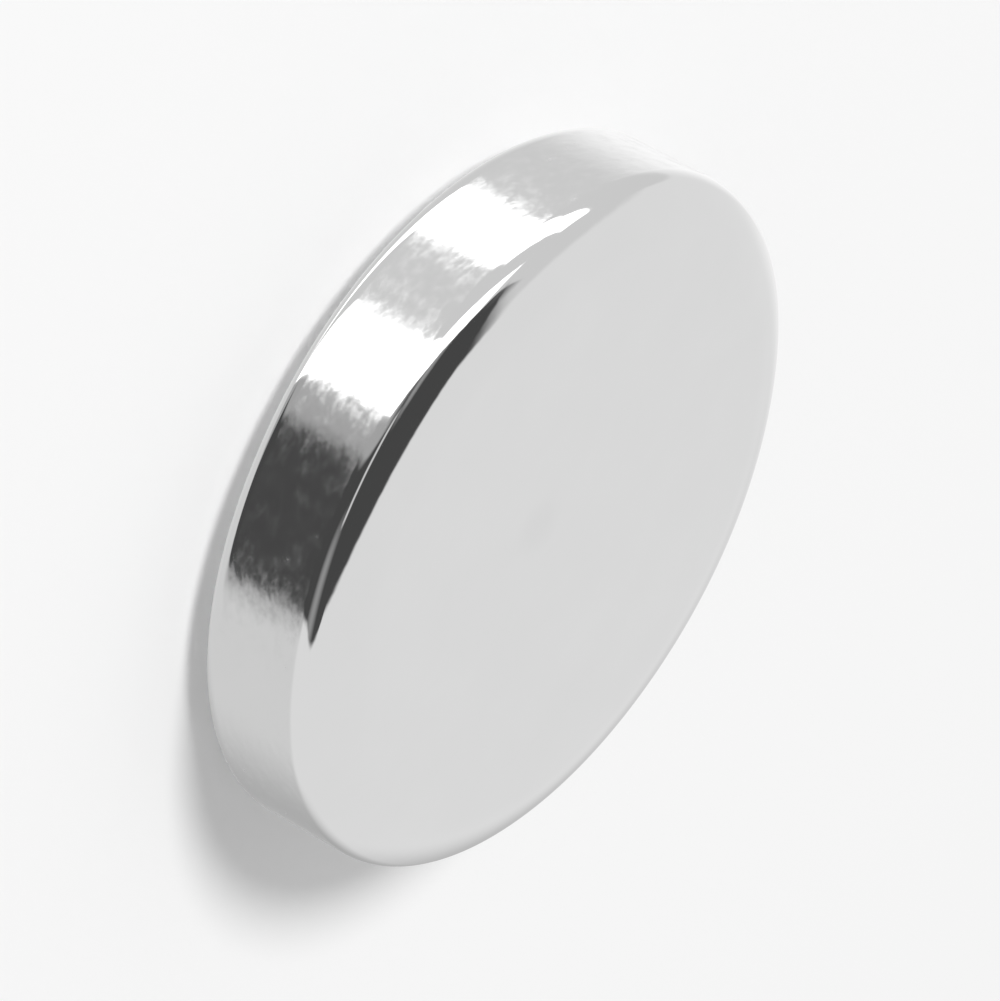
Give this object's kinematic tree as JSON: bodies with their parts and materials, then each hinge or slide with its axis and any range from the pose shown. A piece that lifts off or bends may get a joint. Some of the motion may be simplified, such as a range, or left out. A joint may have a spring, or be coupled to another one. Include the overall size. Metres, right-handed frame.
{
  "type": "disc magnet",
  "caption": "Nickel-plated disc magnet with two flat faces, a ground rim and softly worn edges.",
  "frame": {"origin": "middle of the back face, on which the disc lies", "axes": "+Z along the disc's axis, from the back face to the front face"},
  "size_m": [0.018, 0.018, 0.004],
  "materials": {
    "nickel_plating": "bright nickel plating, smooth on the faces and worn edges, finely ground on the rim"
  },
  "bodies": {
    "root": {"disc_magnet": "nickel_plating"}
  },
  "joints": []
}
